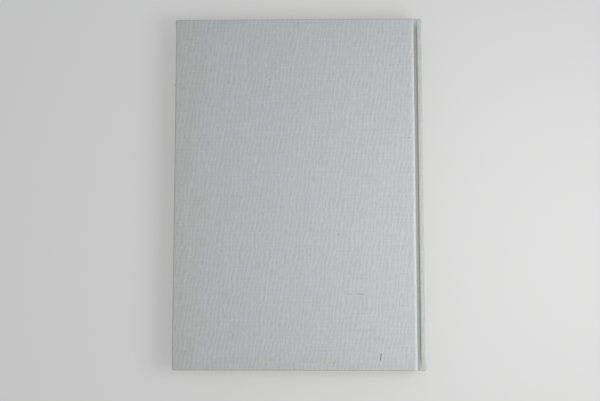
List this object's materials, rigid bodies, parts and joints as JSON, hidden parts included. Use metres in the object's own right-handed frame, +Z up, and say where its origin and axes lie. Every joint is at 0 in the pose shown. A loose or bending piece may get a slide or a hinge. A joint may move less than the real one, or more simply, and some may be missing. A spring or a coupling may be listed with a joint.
{
  "type": "hardback book",
  "caption": "Closed cloth-bound hardback book with a flat back, pressed joint grooves and two covers that open.",
  "frame": {"origin": "centre of the closed book's footprint, on the outer face of the front cover it lies on", "axes": "+Z up through the book's thickness, +Y towards the head, +X towards the spine"},
  "size_m": [0.153, 0.217, 0.017],
  "materials": {
    "book_cloth": "matt woven book cloth, cool grey",
    "page_paper": "uncoated, trimmed edges",
    "endpaper": "uncoated, smooth",
    "grey_board": "grey board",
    "gauze": "open weave, sized",
    "kraft_paper": "kraft lining paper",
    "band_thread": "wound thread over a core"
  },
  "bodies": {
    "book_block": {"text_block": "page_paper", "back_flyleaf": "endpaper", "front_flyleaf": "endpaper", "super": "gauze", "spine_lining": "kraft_paper", "head_band": "band_thread", "tail_band": "band_thread", "spine_board": "grey_board", "spine_cloth": "book_cloth"},
    "back_cover": {"back_board": "grey_board", "back_cover_cloth": "book_cloth", "back_super_flange": "gauze", "back_pastedown": "endpaper"},
    "front_cover": {"front_board": "grey_board", "front_cover_cloth": "book_cloth", "front_super_flange": "gauze", "front_pastedown": "endpaper"}
  },
  "joints": [
    {"name": "back_cover_hinge", "type": "hinge", "parent": "book_block", "child": "back_cover", "pos_m": [0.07425, 0, 0.0147], "axis": [0, 1, 0], "range_deg": [0, 180]},
    {"name": "front_cover_hinge", "type": "hinge", "parent": "book_block", "child": "front_cover", "pos_m": [0.07425, 0, 0.0023], "axis": [0, -1, 0], "range_deg": [0, 180]}
  ]
}
